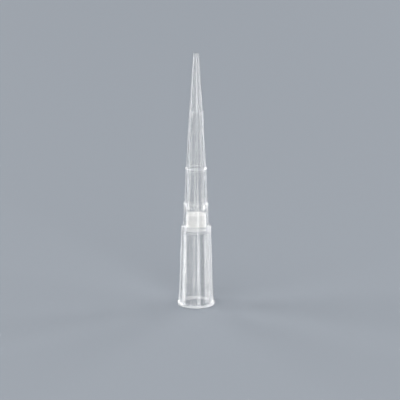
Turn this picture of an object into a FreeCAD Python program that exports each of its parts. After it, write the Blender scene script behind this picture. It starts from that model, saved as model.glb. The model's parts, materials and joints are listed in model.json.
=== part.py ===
# Filter pipette tip, universal fit, 100 microlitres.
#
# Two pieces: a slender tapered moulding of clear polypropylene, open from its mouth to its orifice,
# and a plug of porous polyethylene pressed into its bore to stop aerosols.
#
# Lengths are in millimetres and volumes in cubic millimetres, which are microlitres.  The origin is
# the centre of the mouth.  +Z runs along the axis to the orifice, so the tip stands on its mouth.

import FreeCAD, Part
import collections
import math
import os

# Whole tip
TIP_LENGTH = 51.15
ORIFICE_DIAMETER = 1.08
ORIFICE_BORE_DIAMETER = 0.50

# Bead round the mouth
BEAD_DIAMETER = 7.50
BEAD_HEIGHT = 0.87
BEAD_ROUNDING = 0.22

# Collar that takes the pipette's nozzle, from the bead to the shoulder
COLLAR_FOOT_DIAMETER = 6.94
COLLAR_TOP_DIAMETER = 5.92
SHOULDER_HEIGHT = 16.36
SHOULDER_ROUNDING = 0.22

# Body above the shoulder
BODY_FOOT_DIAMETER = 5.02

# Graduation rings.  Each is a narrow raised band with a bevel at both edges, and the body steps in
# above it.  The bore between the orifice and the middle of a band holds that ring's volume.
Ring = collections.namedtuple("Ring", "volume height width diameter_below diameter diameter_above")
RINGS = (
    Ring(volume=100.0, height=20.76, width=0.58, diameter_below=4.86, diameter=4.98, diameter_above=4.57),
    Ring(volume=50.0, height=28.00, width=0.65, diameter_below=4.14, diameter=4.30, diameter_above=3.86),
    Ring(volume=10.0, height=39.40, width=0.45, diameter_below=2.80, diameter=2.87, diameter_above=2.63),
)
RING_BEVEL = 0.07

# Socket inside the collar: a lead-in, a sealing land that grips the nozzle, and a taper beyond it
LEAD_IN_DIAMETER = 5.46
MOUTH_BEVEL = 0.30
LAND_DIAMETER = 5.28
LAND_START = 3.00
LAND_LENGTH = 1.00
LAND_RELIEF = 0.06
LAND_RAMP = 0.12
SOCKET_END_DIAMETER = 4.86
SOCKET_END_HEIGHT = 15.14

# Seat of the filter plug, which runs on above the plug, and the throat that leads from it to the
# measuring bore
SEAT_START = 15.42
SEAT_START_DIAMETER = 4.02
SEAT_END = 20.08
SEAT_END_DIAMETER = 3.92
THROAT_END = 20.40
THROAT_DIAMETER = 3.34

# Filter plug
PLUG_START = 15.52
PLUG_LENGTH = 3.30
PLUG_BEVEL = 0.14


def radius_along(height, start, end):
    """Radius at a height on the straight taper from start to end, both (radius, height)."""
    share = (height - start[1]) / (end[1] - start[1])
    return start[0] + share * (end[0] - start[0])


def wider_end_radius(narrow_radius, length, volume):
    """Radius at the wide end of a cone frustum of this length and volume."""
    mean_square = 3 * volume / (math.pi * length)
    return (math.sqrt(4 * mean_square - 3 * narrow_radius**2) - narrow_radius) / 2


def measuring_bore():
    """Bore corners (radius, height) at the orifice and at each ring, from the orifice down."""
    corners = [(ORIFICE_BORE_DIAMETER / 2, TIP_LENGTH)]
    held = 0.0
    for ring in reversed(RINGS):
        radius, height = corners[-1]
        radius = wider_end_radius(radius, height - ring.height, ring.volume - held)
        corners.append((radius, ring.height))
        held = ring.volume
    return corners


def ring_corners(ring):
    """Corners of one graduation ring and the step above it, from its lower edge up."""
    low = ring.height - ring.width / 2
    high = ring.height + ring.width / 2
    return [
        (ring.diameter_below / 2, low, 0),
        (ring.diameter / 2, low + RING_BEVEL, 0),
        (ring.diameter / 2, high - RING_BEVEL, 0),
        (ring.diameter / 2 - RING_BEVEL, high, 0),
        (ring.diameter_above / 2, high, 0),
    ]


def outer_corners():
    """Corners of the outside, from the mouth up to the orifice."""
    corners = [
        (BEAD_DIAMETER / 2, 0, BEAD_ROUNDING),
        (BEAD_DIAMETER / 2, BEAD_HEIGHT, BEAD_ROUNDING),
        (COLLAR_FOOT_DIAMETER / 2, BEAD_HEIGHT, 0),
        (COLLAR_TOP_DIAMETER / 2, SHOULDER_HEIGHT, SHOULDER_ROUNDING),
        (BODY_FOOT_DIAMETER / 2, SHOULDER_HEIGHT, 0),
    ]
    for ring in RINGS:
        corners += ring_corners(ring)
    corners.append((ORIFICE_DIAMETER / 2, TIP_LENGTH, 0))
    return corners


def inner_corners():
    """Corners of the bore, from the orifice down to the mouth."""
    land = LAND_DIAMETER / 2
    land_end = LAND_START + LAND_LENGTH
    mouth = LEAD_IN_DIAMETER / 2
    corners = [(radius, height, 0) for radius, height in measuring_bore()]
    corners += [
        (THROAT_DIAMETER / 2, THROAT_END, 0),
        (SEAT_END_DIAMETER / 2, SEAT_END, 0),
        (SEAT_START_DIAMETER / 2, SEAT_START, 0),
        (SOCKET_END_DIAMETER / 2, SOCKET_END_HEIGHT, 0),
        (land + LAND_RELIEF, land_end + LAND_RAMP, 0),
        (land, land_end, 0),
        (land, LAND_START, 0),
        (land + LAND_RELIEF, LAND_START - LAND_RAMP, 0),
        (mouth, MOUTH_BEVEL, 0),
        (mouth + MOUTH_BEVEL, 0, 0),
    ]
    return corners


def plug_corners():
    """Corners of the filter plug, which fills its tapered seat and is bevelled at both ends."""
    seat_start = (SEAT_START_DIAMETER / 2, SEAT_START)
    seat_end = (SEAT_END_DIAMETER / 2, SEAT_END)
    plug_end = PLUG_START + PLUG_LENGTH
    low = PLUG_START + PLUG_BEVEL
    high = plug_end - PLUG_BEVEL
    low_radius = radius_along(low, seat_start, seat_end)
    high_radius = radius_along(high, seat_start, seat_end)
    return [
        (0, PLUG_START, 0),
        (low_radius - PLUG_BEVEL, PLUG_START, 0),
        (low_radius, low, 0),
        (high_radius, high, 0),
        (high_radius - PLUG_BEVEL, plug_end, 0),
        (0, plug_end, 0),
    ]


def corner_arc(before, corner, after, rounding):
    """Start, middle and end of the arc that rounds a corner between its two neighbours."""
    back = (before - corner).normalize()
    ahead = (after - corner).normalize()
    half_angle = back.getAngle(ahead) / 2
    setback = rounding / math.tan(half_angle)
    inward = (back + ahead).normalize()
    middle = corner + inward * (rounding / math.sin(half_angle) - rounding)
    return corner + back * setback, middle, corner + ahead * setback


def rounded_wire(corners):
    """Closed wire in the XZ plane through corners, each a (radius, height, rounding)."""
    points = [FreeCAD.Vector(radius, 0, height) for radius, height, _ in corners]
    arcs = []
    for index, (_, _, rounding) in enumerate(corners):
        after = points[(index + 1) % len(points)]
        if rounding:
            arcs.append(corner_arc(points[index - 1], points[index], after, rounding))
        else:
            arcs.append((points[index],))
    edges = []
    for index, arc in enumerate(arcs):
        if len(arc) > 1:
            edges.append(Part.Arc(*arc).toShape())
        following = arcs[(index + 1) % len(arcs)]
        edges.append(Part.LineSegment(arc[-1], following[0]).toShape())
    return Part.Wire(edges)


def revolved(corners):
    """Solid of revolution about Z of the profile through these corners."""
    axis_point = FreeCAD.Vector(0, 0, 0)
    axis = FreeCAD.Vector(0, 0, 1)
    return Part.Face(rounded_wire(corners)).revolve(axis_point, axis, 360)


def tip_body():
    """The moulding: bead, collar, shoulder, graduated cone and through bore in one piece."""
    return revolved(outer_corners() + inner_corners())


def filter_plug():
    """The porous plug, pressed into its seat just above the socket."""
    return revolved(plug_corners())


def main():
    os.makedirs("parts", exist_ok=True)
    for name, build in (("tip_body", tip_body), ("filter_plug", filter_plug)):
        shape = build()
        shape.exportStep(f"parts/{name}.step")
        print(f"{name}: {shape.ShapeType}, valid {shape.isValid()}, {shape.Volume:.2f} mm3")


main()
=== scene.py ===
"""Filter pipette tip: a clear polypropylene moulding with a white porous plug pressed into its bore.

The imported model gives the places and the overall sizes.  Here both pieces are turned again from their
sections, with every edge rounded as a mould leaves it, and given their finishes.  Lengths on the tip are
written in millimetres, and the meshes are in metres.
"""

import collections
import json
import math

import bmesh
import bpy
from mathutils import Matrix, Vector, noise


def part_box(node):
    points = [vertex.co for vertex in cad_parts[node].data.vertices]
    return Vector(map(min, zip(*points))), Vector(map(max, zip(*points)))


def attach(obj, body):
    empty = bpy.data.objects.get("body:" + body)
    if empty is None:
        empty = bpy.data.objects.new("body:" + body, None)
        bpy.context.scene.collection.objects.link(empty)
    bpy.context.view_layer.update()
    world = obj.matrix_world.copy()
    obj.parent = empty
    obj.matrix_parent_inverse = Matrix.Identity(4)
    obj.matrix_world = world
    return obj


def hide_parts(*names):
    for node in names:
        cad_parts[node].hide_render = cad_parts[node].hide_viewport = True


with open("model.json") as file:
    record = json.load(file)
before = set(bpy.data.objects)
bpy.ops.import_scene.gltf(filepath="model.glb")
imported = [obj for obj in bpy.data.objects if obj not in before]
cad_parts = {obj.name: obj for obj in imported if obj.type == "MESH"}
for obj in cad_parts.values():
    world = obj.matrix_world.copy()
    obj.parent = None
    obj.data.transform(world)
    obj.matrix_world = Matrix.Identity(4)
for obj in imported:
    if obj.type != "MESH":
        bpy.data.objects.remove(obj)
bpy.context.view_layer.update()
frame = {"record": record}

MM = 0.001

# Sections.  A corner is a radius, a height and the radius of its rounding.
Corner = collections.namedtuple("Corner", "radius height rounding")

SPIN_STEPS = 224
ROUNDING_SEGMENTS = 6

# Outside of the moulding
BEAD_HEIGHT = 0.87
BEAD_ROUNDING = 0.24
BEAD_ROOT_ROUNDING = 0.10
COLLAR_FOOT_RADIUS = 3.47
COLLAR_TOP_RADIUS = 2.96
SHOULDER_ROUNDING = 0.22
SHOULDER_ROOT_ROUNDING = 0.04
BODY_FOOT_RADIUS = 2.51
ORIFICE_RADIUS = 0.54
LIP_ROUNDING = 0.06

# Graduation rings: the middle height and width of the band, the outside radii below, on and above it, the
# rounding of its upper edge, the radius of the bore at its middle, and how much of RING_FROST its edge has
Ring = collections.namedtuple("Ring", "height width below radius above rounding bore frost")
RINGS = (
    Ring(20.76, 0.58, below=2.430, radius=2.490, above=2.285, rounding=0.10, bore=1.624, frost=0.15),
    Ring(28.00, 0.65, below=2.070, radius=2.150, above=1.930, rounding=0.18, bore=1.336, frost=1.0),
    Ring(39.40, 0.45, below=1.400, radius=1.435, above=1.315, rounding=0.05, bore=0.750, frost=0.6),
)
RING_FOOT_RISE = 0.07
RING_FOOT_ROUNDING = 0.05
RING_ROOT_ROUNDING = 0.04

# Inside of the moulding, from the orifice down to the mouth
ORIFICE_BORE_RADIUS = 0.25
THROAT = Corner(1.67, 20.40, 0.10)
SEAT_END = Corner(1.96, 20.08, 0.10)
SEAT_START = Corner(2.01, 15.42, 0.10)
SOCKET_END = Corner(2.43, 15.14, 0.15)
LAND_RAMP = 0.12
LAND_ROUNDING = 0.10
SOCKET_RELIEF = 0.06
MOUTH_RADIUS = 2.73
MOUTH_BEVEL = 0.30
MOUTH_ROUNDING = 0.14

# Filter plug, with a gap between it and its seat that keeps their skins apart
PLUG_GAP = 0.03
PLUG_TAPER = 0.02
PLUG_ROUNDING = 0.16
PLUG_STEPS = 210
PLUG_MESH_SIZE = 0.06
GRAIN = 0.16
GRAIN_DEPTH = 0.030


# ---------------------------------------------------------------- sections and turning


def mount(name):
    """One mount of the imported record."""
    return next(m for m in frame["record"]["mounts"] if m["name"] == name)


def section(bm, corners, closed):
    """Wire in the XZ plane through the corners, each rounded by its own radius."""
    points = [Vector((corner.radius, 0, corner.height)) * MM for corner in corners]
    vertices = [bm.verts.new(point) for point in points]
    for first, second in zip(vertices, vertices[1:]):
        bm.edges.new((first, second))
    if closed:
        bm.edges.new((vertices[-1], vertices[0]))
    for index, corner in enumerate(corners):
        if not corner.rounding:
            continue
        back = points[index - 1] - points[index]
        ahead = points[(index + 1) % len(points)] - points[index]
        setback = corner.rounding * MM / math.tan(back.angle(ahead) / 2)
        bmesh.ops.bevel(
            bm,
            geom=[vertices[index]],
            offset=setback,
            offset_type="OFFSET",
            affect="VERTICES",
            segments=ROUNDING_SEGMENTS,
            profile=0.5,
            material=-1,
        )


def turn(bm, steps):
    """Turns the section a whole turn about the axis of the tip, into a closed skin facing outwards."""
    bmesh.ops.spin(
        bm,
        geom=bm.verts[:] + bm.edges[:],
        cent=(0, 0, 0),
        axis=(0, 0, 1),
        dvec=(0, 0, 0),
        angle=2 * math.pi,
        steps=steps,
        use_merge=True,
        use_normal_flip=False,
        use_duplicate=False,
    )
    bmesh.ops.remove_doubles(bm, verts=bm.verts[:], dist=1e-7)
    bmesh.ops.recalc_face_normals(bm, faces=bm.faces[:])


def piece(name, bm, node, finish):
    """A finished object made from the mesh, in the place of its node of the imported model."""
    mesh = bpy.data.meshes.new(name)
    bm.to_mesh(mesh)
    bm.free()
    mesh.shade_smooth()
    mesh.materials.append(finish)
    made = bpy.data.objects.new(name, mesh)
    bpy.context.scene.collection.objects.link(made)
    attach(made, "root")
    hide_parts(node)
    return made


# ---------------------------------------------------------------- materials

# Clear polypropylene.  Haze, frost and gloss are shares of the light at each skin.  The depth haze and the
# scales of textures are per metre.  A frost band is centred on its height and reaches as far below as above,
# and the collar's own haze and gloss end at the middle of the shoulder's band.
WHITE = (1, 1, 1, 1)
CLEAR_TINT = (0.965, 0.96, 0.95, 1)
CLEAR_ROUGHNESS = 0.04
CLEAR_IOR = 1.49
HAZE_COLOUR = (0.96, 0.965, 0.98, 1)
HAZE_STREAKS = 0.02
COLLAR_HAZE = 0.02
BEAD_FROST = 0.22
BEAD_FROST_RADIUS = 3.40
FOOT_FROST = 0.60
FOOT_FROST_HEIGHT = 0.32
FOOT_FROST_REACH = 0.25
SHOULDER_FROST = 0.20
SHOULDER_FROST_HEIGHT = 15.76
SHOULDER_FROST_REACH = 0.66
RING_FROST = 0.35
RING_FROST_REACH = 0.10
DEPTH_HAZE = 20.0
FACE_GLOSS = 0.10
COLLAR_GLOSS = 0.05
EDGE_GLOSS = 0.50
GLOSS_ROUGHNESS = 0.26
GLOSS_STRETCH = 0.85
STREAK_SCALE = (1100, 1100, 60)
TOOL_LINE_SCALE = (160, 160, 5200)
TOOL_LINE_SHARE = 0.35
WAVE_SCALE = 620.0
SKIN_DEPTH = 0.0005

# Porous polyethylene: the colour on a grain, a darker colour between grains that is painted shade in the
# pores, and the dust and pores on them
GRAIN_COLOUR = (0.88, 0.875, 0.86, 1)
PORE_SHADE_COLOUR = (0.82, 0.81, 0.79, 1)
DUST_SCALE = 14000.0
DUST_SHARE = 0.6
PORE_STRENGTH = 0.6
PORE_DEPTH = 0.03
POROUS_ROUGHNESS = 0.85


class Finish:
    """A material or a world, and its nodes."""

    def __init__(self, block):
        self.block = block
        self.block.use_nodes = True
        self.nodes = self.block.node_tree.nodes
        self.links = self.block.node_tree.links
        self.nodes.clear()

    def node(self, kind, settings=None, **sockets):
        """A node of this kind.  Its settings are set first, then its sockets take values or links.

        A socket goes by its name, with _ for a space, or by i and its number.
        """
        made = self.nodes.new(kind)
        for name, value in (settings or {}).items():
            setattr(made, name, value)
        for name, value in sockets.items():
            wanted = name.replace("_", " ")
            socket = made.inputs[int(wanted[1:])] if wanted[1:].isdigit() else made.inputs[wanted]
            if isinstance(value, Signal):
                self.links.new(value.socket, socket)
            elif isinstance(value, bpy.types.NodeSocket):
                self.links.new(value, socket)
            else:
                socket.default_value = value
        return made

    def signal(self, kind, output=0, settings=None, **sockets):
        """One output of a new node, ready for sums."""
        return Signal(self, self.node(kind, settings, **sockets).outputs[output])

    def surface(self, shader, inside=None):
        """The material, finished with this shader on its surface and perhaps another in its depth."""
        output = self.node("ShaderNodeOutputMaterial", Surface=shader)
        if inside:
            self.links.new(inside, output.inputs["Volume"])
        return self.block

    def mixed_shader(self, share, first, second):
        """The two shaders mixed, with this share of the second."""
        return self.node("ShaderNodeMixShader", Fac=share, i1=first, i2=second).outputs["Shader"]

    def seen(self):
        """1 for the light that the camera takes in, straight or by way of gloss or clear plastic."""
        path = self.node("ShaderNodeLightPath").outputs
        camera = Signal(self, path["Is Camera Ray"])
        glossy = Signal(self, path["Is Glossy Ray"])
        return camera.larger(glossy).larger(path["Is Transmission Ray"])


class Signal:
    """A value on a node's socket.  Sums on it add Math nodes."""

    def __init__(self, finish, socket):
        self.finish = finish
        self.socket = socket

    def sum(self, operation, first, second):
        """The two values put through this operation."""
        return self.finish.signal("ShaderNodeMath", settings={"operation": operation}, i0=first, i1=second)

    def __add__(self, other):
        return self.sum("ADD", self, other)

    def __radd__(self, other):
        return self.sum("ADD", other, self)

    def __sub__(self, other):
        return self.sum("SUBTRACT", self, other)

    def __rsub__(self, other):
        return self.sum("SUBTRACT", other, self)

    def __mul__(self, other):
        return self.sum("MULTIPLY", self, other)

    def __rmul__(self, other):
        return self.sum("MULTIPLY", other, self)

    def larger(self, other):
        """The larger of the two numbers."""
        return self.sum("MAXIMUM", self, other)

    def below(self, limit):
        """1 where this number is below the limit, and 0 elsewhere."""
        return self.sum("LESS_THAN", self, limit)

    def near(self, middle, reach):
        """1 where this number is within reach of the middle, and 0 elsewhere."""
        settings = {"operation": "COMPARE"}
        return self.finish.signal("ShaderNodeMath", settings=settings, i0=self, i1=middle, i2=reach)


def clear_polypropylene():
    """Glossy, slightly milky polypropylene.

    It is clear, with haze in its depth, streaks of haze along the flow, frost on the bead, under the
    shoulder and on the rings' edges, and a gloss that the turned mould draws out along the tip.
    """
    finish = Finish(bpy.data.materials.new("clear_polypropylene"))
    place = finish.node("ShaderNodeTexCoord").outputs["Object"]
    along_flow = finish.signal("ShaderNodeMapping", Vector=place, Scale=STREAK_SCALE)
    streaks = finish.signal("ShaderNodeTexNoise", Vector=along_flow, Scale=1.0, Detail=3.0, Roughness=0.55)
    round_tool = finish.signal("ShaderNodeMapping", Vector=place, Scale=TOOL_LINE_SCALE)
    tool_lines = finish.signal("ShaderNodeTexNoise", Vector=round_tool, Scale=1.0, Detail=2.0, Roughness=0.5)
    waves = finish.signal("ShaderNodeTexNoise", Vector=place, Scale=WAVE_SCALE, Detail=1.0, Roughness=0.4)
    relief = tool_lines * TOOL_LINE_SHARE + waves
    skin = finish.node("ShaderNodeBump", Distance=SKIN_DEPTH * MM, Height=relief).outputs["Normal"]
    across = finish.signal("ShaderNodeVectorMath", 0, {"operation": "MULTIPLY"}, i0=place, i1=(1, 1, 0))
    height = finish.signal("ShaderNodeSeparateXYZ", 2, Vector=place)
    radius = finish.signal("ShaderNodeVectorMath", 1, {"operation": "LENGTH"}, i0=across)
    on_bead = height.below(BEAD_HEIGHT * MM) * (1 - radius.below(BEAD_FROST_RADIUS * MM))
    foot = height.near(FOOT_FROST_HEIGHT * MM, FOOT_FROST_REACH * MM)
    frost = on_bead * (foot * FOOT_FROST + BEAD_FROST)
    frost = frost + height.near(SHOULDER_FROST_HEIGHT * MM, SHOULDER_FROST_REACH * MM) * SHOULDER_FROST
    for ring in RINGS:
        middle = ring.height + ring.width / 2 - RING_FROST_REACH
        frost = frost + height.near(middle * MM, RING_FROST_REACH * MM) * (RING_FROST * ring.frost)
    clear = finish.node(
        "ShaderNodeBsdfPrincipled",
        Base_Color=CLEAR_TINT,
        Roughness=CLEAR_ROUGHNESS,
        IOR=CLEAR_IOR,
        Transmission_Weight=1.0,
        Normal=skin,
    ).outputs["BSDF"]
    front = finish.node("ShaderNodeBsdfDiffuse", Color=HAZE_COLOUR, Normal=skin).outputs["BSDF"]
    back = finish.node("ShaderNodeBsdfTranslucent", Color=HAZE_COLOUR, Normal=skin).outputs["BSDF"]
    haze = finish.mixed_shader(0.5, front, back)
    collar = height.below(SHOULDER_FROST_HEIGHT * MM)
    share = streaks * HAZE_STREAKS + collar * COLLAR_HAZE + frost
    milky = finish.mixed_shader(share, clear, haze)
    gloss = finish.node(
        "ShaderNodeBsdfAnisotropic",
        Color=WHITE,
        Roughness=GLOSS_ROUGHNESS,
        Anisotropy=GLOSS_STRETCH,
        Normal=skin,
    ).outputs["BSDF"]
    grazing = finish.signal("ShaderNodeLayerWeight", output="Facing", Blend=0.5, Normal=skin)
    mirror = grazing * grazing * grazing * grazing * EDGE_GLOSS + collar * COLLAR_GLOSS + FACE_GLOSS
    whole = finish.mixed_shader(mirror, milky, gloss)
    depth = finish.node("ShaderNodeVolumeScatter", Color=WHITE, Density=DEPTH_HAZE, Anisotropy=0.0)
    return finish.surface(whole, depth.outputs["Volume"])


def porous_polyethylene():
    """White sintered polyethylene: fused grains with shallow pores between them, darkened there by painted
    shade.
    """
    finish = Finish(bpy.data.materials.new("porous_polyethylene"))
    place = finish.node("ShaderNodeTexCoord").outputs["Object"]
    grains = finish.signal("ShaderNodeTexVoronoi", Vector=place, Scale=1 / (GRAIN * MM), Randomness=1.0)
    dust = finish.signal("ShaderNodeTexNoise", Vector=place, Scale=DUST_SCALE, Detail=3.0, Roughness=0.6)
    relief = dust * DUST_SHARE - grains
    pores = finish.node("ShaderNodeBump", Strength=PORE_STRENGTH, Distance=PORE_DEPTH * MM, Height=relief)
    # The colour darkens from the middle of each grain towards its edge: painted shade in the pores between
    # grains.
    colour = finish.signal(
        "ShaderNodeMix",
        2,
        {"data_type": "RGBA"},
        Factor=grains,
        i6=GRAIN_COLOUR,
        i7=PORE_SHADE_COLOUR,
    )
    shader = finish.node(
        "ShaderNodeBsdfPrincipled",
        Base_Color=colour,
        Roughness=POROUS_ROUGHNESS,
        Normal=pores.outputs["Normal"],
    )
    return finish.surface(shader.outputs["BSDF"])


# ---------------------------------------------------------------- the two pieces


def ring_corners(ring):
    """Corners of one graduation ring and the step above it, from its lower edge up."""
    low = ring.height - ring.width / 2
    high = ring.height + ring.width / 2
    return [
        Corner(ring.below, low, RING_FOOT_ROUNDING),
        Corner(ring.radius, low + RING_FOOT_RISE, RING_FOOT_ROUNDING),
        Corner(ring.radius, high, ring.rounding),
        Corner(ring.above, high, RING_ROOT_ROUNDING),
    ]


def clear_tip():
    """The moulding: bead, collar, shoulder, graduated cone and through bore."""
    box_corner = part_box("tip_body")[1]
    length = box_corner.z / MM
    bead_radius = box_corner.x / MM
    shoulder = mount("rack_shoulder")["pos_m"][2] / MM
    socket = mount("nozzle_socket")
    land_radius = socket["dims"]["r_mm"]
    land_middle = socket["pos_m"][2] / MM
    land_half = socket["dims"]["length_mm"] / 2
    relief = land_radius + SOCKET_RELIEF
    corners = [
        Corner(bead_radius, 0, BEAD_ROUNDING),
        Corner(bead_radius, BEAD_HEIGHT, BEAD_ROUNDING),
        Corner(COLLAR_FOOT_RADIUS, BEAD_HEIGHT, BEAD_ROOT_ROUNDING),
        Corner(COLLAR_TOP_RADIUS, shoulder, SHOULDER_ROUNDING),
        Corner(BODY_FOOT_RADIUS, shoulder, SHOULDER_ROOT_ROUNDING),
    ]
    for ring in RINGS:
        corners += ring_corners(ring)
    corners.append(Corner(ORIFICE_RADIUS, length, LIP_ROUNDING))
    corners.append(Corner(ORIFICE_BORE_RADIUS, length, LIP_ROUNDING))
    corners += [Corner(ring.bore, ring.height, 0) for ring in reversed(RINGS)]
    corners += [
        THROAT,
        SEAT_END,
        SEAT_START,
        SOCKET_END,
        Corner(relief, land_middle + land_half + LAND_RAMP, LAND_ROUNDING),
        Corner(land_radius, land_middle + land_half, LAND_ROUNDING),
        Corner(land_radius, land_middle - land_half, LAND_ROUNDING),
        Corner(relief, land_middle - land_half - LAND_RAMP, LAND_ROUNDING),
        Corner(MOUTH_RADIUS, MOUTH_BEVEL, MOUTH_ROUNDING),
        Corner(MOUTH_RADIUS + MOUTH_BEVEL, 0, MOUTH_ROUNDING),
    ]
    bm = bmesh.new()
    section(bm, corners, closed=True)
    turn(bm, SPIN_STEPS)
    made = piece("clear_tip", bm, "tip_body", clear_polypropylene())
    weighted = made.modifiers.new("true_cones", "WEIGHTED_NORMAL")
    weighted.mode = "FACE_AREA"
    weighted.weight = 100
    return made


def white_filter():
    """The porous plug, with its grains standing out of its skin."""
    low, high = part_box("filter_plug")
    start = low.z / MM
    end = high.z / MM
    foot = high.x / MM - PLUG_GAP
    top = foot - PLUG_TAPER
    bm = bmesh.new()
    section(
        bm,
        [
            Corner(0, start, 0),
            Corner(foot, start, PLUG_ROUNDING),
            Corner(top, end, PLUG_ROUNDING),
            Corner(0, end, 0),
        ],
        closed=False,
    )
    for edge in bm.edges[:]:
        cuts = round(edge.calc_length() / (PLUG_MESH_SIZE * MM)) - 1
        if cuts > 0:
            bmesh.ops.subdivide_edges(bm, edges=[edge], cuts=cuts)
    turn(bm, PLUG_STEPS)
    bm.normal_update()
    for vertex in bm.verts:
        nearest = noise.voronoi(vertex.co / (GRAIN * MM))[0][0]
        vertex.co -= vertex.normal * GRAIN_DEPTH * MM * min(nearest, 1.0)
    return piece("white_filter", bm, "filter_plug", porous_polyethylene())


clear_tip()
white_filter()


# ---------------------------------------------------------------- floor, light and camera

# Lengths here are in metres, and angles in degrees.
FLOOR_RADIUS = 4.0
FLOOR_SEGMENTS = 96
FLOOR_COLOUR = (0.285, 0.306, 0.335, 1)
FLOOR_ROUGHNESS = 0.8
FLOOR_FADE_START = 0.25
FLOOR_FADE_END = 0.80
WORLD_COLOUR = (0.22, 0.238, 0.26, 1)
BACKDROP_COLOUR = (0.36, 0.39, 0.425, 1)

# Softboxes round the tip, all turned towards the middle of it.  Azimuth 0 is beside the camera, and 90 is
# to the right.
Softbox = collections.namedtuple("Softbox", "name azimuth width power height distance tall")
LEVEL = dict(height=0.22, distance=0.75, tall=0.40)
HIGH = dict(height=0.62, distance=0.52, tall=0.60)
SOFTBOXES = (
    Softbox("back_left_softbox", -143, width=0.30, power=2.0, **LEVEL),
    Softbox("left_softbox", -98, width=0.40, power=4.3, **LEVEL),
    Softbox("strip_softbox", 18, width=0.32, power=3.0, **LEVEL),
    Softbox("right_softbox", 80, width=0.43, power=2.2, **LEVEL),
    Softbox("right_band_softbox", 113, width=0.26, power=2.8, **LEVEL),
    Softbox("back_right_softbox", 142, width=0.30, power=2.2, **LEVEL),
    Softbox("high_softbox", -30, width=0.60, power=3.0, **HIGH),
)
SOFTBOX_AIM = (0, 0, 0.025)

CAMERA_ELEVATION = 15.8
CAMERA_DISTANCE = 0.4573
CAMERA_AIM = (0.00077, 0, 0.02153)
CAMERA_LENS = 207.8

CLEAR_BOUNCES = 24
MATT_BOUNCES = 8
HAZE_BOUNCES = 8


def pale_floor():
    """A wide matt floor under the mouth of the tip, which fades into the backdrop away from it."""
    finish = Finish(bpy.data.materials.new("pale_floor"))
    matt = finish.node(
        "ShaderNodeBsdfPrincipled",
        Base_Color=FLOOR_COLOUR,
        Roughness=FLOOR_ROUGHNESS,
        Specular_IOR_Level=0.0,
    ).outputs["BSDF"]
    place = finish.node("ShaderNodeTexCoord").outputs["Object"]
    away = finish.signal("ShaderNodeVectorMath", 1, {"operation": "LENGTH"}, i0=place)
    fade = finish.signal(
        "ShaderNodeMapRange",
        settings={"interpolation_type": "SMOOTHSTEP"},
        Value=away,
        From_Min=FLOOR_FADE_START,
        From_Max=FLOOR_FADE_END,
    )
    backdrop = finish.node("ShaderNodeEmission", Color=BACKDROP_COLOUR).outputs["Emission"]
    shader = finish.mixed_shader(fade * finish.seen(), matt, backdrop)
    bm = bmesh.new()
    bmesh.ops.create_circle(bm, cap_ends=True, segments=FLOOR_SEGMENTS, radius=FLOOR_RADIUS)
    mesh = bpy.data.meshes.new("floor")
    bm.to_mesh(mesh)
    bm.free()
    mesh.materials.append(finish.surface(shader))
    floor = bpy.data.objects.new("floor", mesh)
    bpy.context.scene.collection.objects.link(floor)


def set_up(softbox):
    """Lights one softbox in its place."""
    lamp = bpy.data.lights.new(softbox.name, "AREA")
    lamp.shape = "RECTANGLE"
    lamp.size = softbox.width
    lamp.size_y = softbox.tall
    lamp.energy = softbox.power
    made = bpy.data.objects.new(softbox.name, lamp)
    turned = math.radians(softbox.azimuth)
    right = math.sin(turned) * softbox.distance
    back = -math.cos(turned) * softbox.distance
    made.location = (right, back, softbox.height)
    away = made.location - Vector(SOFTBOX_AIM)
    made.rotation_euler = away.to_track_quat("Z", "Y").to_euler()
    made.visible_camera = False
    bpy.context.scene.collection.objects.link(made)


def studio():
    """The world: a soft pale light, with the backdrop's colour where it is seen."""
    finish = Finish(bpy.data.worlds.new("studio"))
    soft = finish.node("ShaderNodeBackground", Color=WORLD_COLOUR).outputs["Background"]
    backdrop = finish.node("ShaderNodeBackground", Color=BACKDROP_COLOUR).outputs["Background"]
    finish.node("ShaderNodeOutputWorld", Surface=finish.mixed_shader(finish.seen(), soft, backdrop))
    bpy.context.scene.world = finish.block


def camera():
    """Camera in front of the tip, a little above it."""
    elevation = math.radians(CAMERA_ELEVATION)
    data = bpy.data.cameras.new("camera")
    data.sensor_width = 36
    data.lens = CAMERA_LENS
    data.clip_start = 0.01
    data.clip_end = 20
    made = bpy.data.objects.new("camera", data)
    away = Vector((0, -math.cos(elevation), math.sin(elevation)))
    made.location = Vector(CAMERA_AIM) + away * CAMERA_DISTANCE
    made.rotation_euler = away.to_track_quat("Z", "Y").to_euler()
    bpy.context.scene.collection.objects.link(made)
    bpy.context.scene.camera = made


def paths():
    """Lets light through many walls, and keeps it sharp there after it has bounced off something matt."""
    cycles = bpy.context.scene.cycles
    cycles.blur_glossy = 0
    cycles.max_bounces = CLEAR_BOUNCES
    cycles.transmission_bounces = CLEAR_BOUNCES
    cycles.diffuse_bounces = MATT_BOUNCES
    cycles.volume_bounces = HAZE_BOUNCES


pale_floor()
for softbox in SOFTBOXES:
    set_up(softbox)
studio()
camera()
paths()
bpy.context.scene.view_settings.view_transform = "Standard"
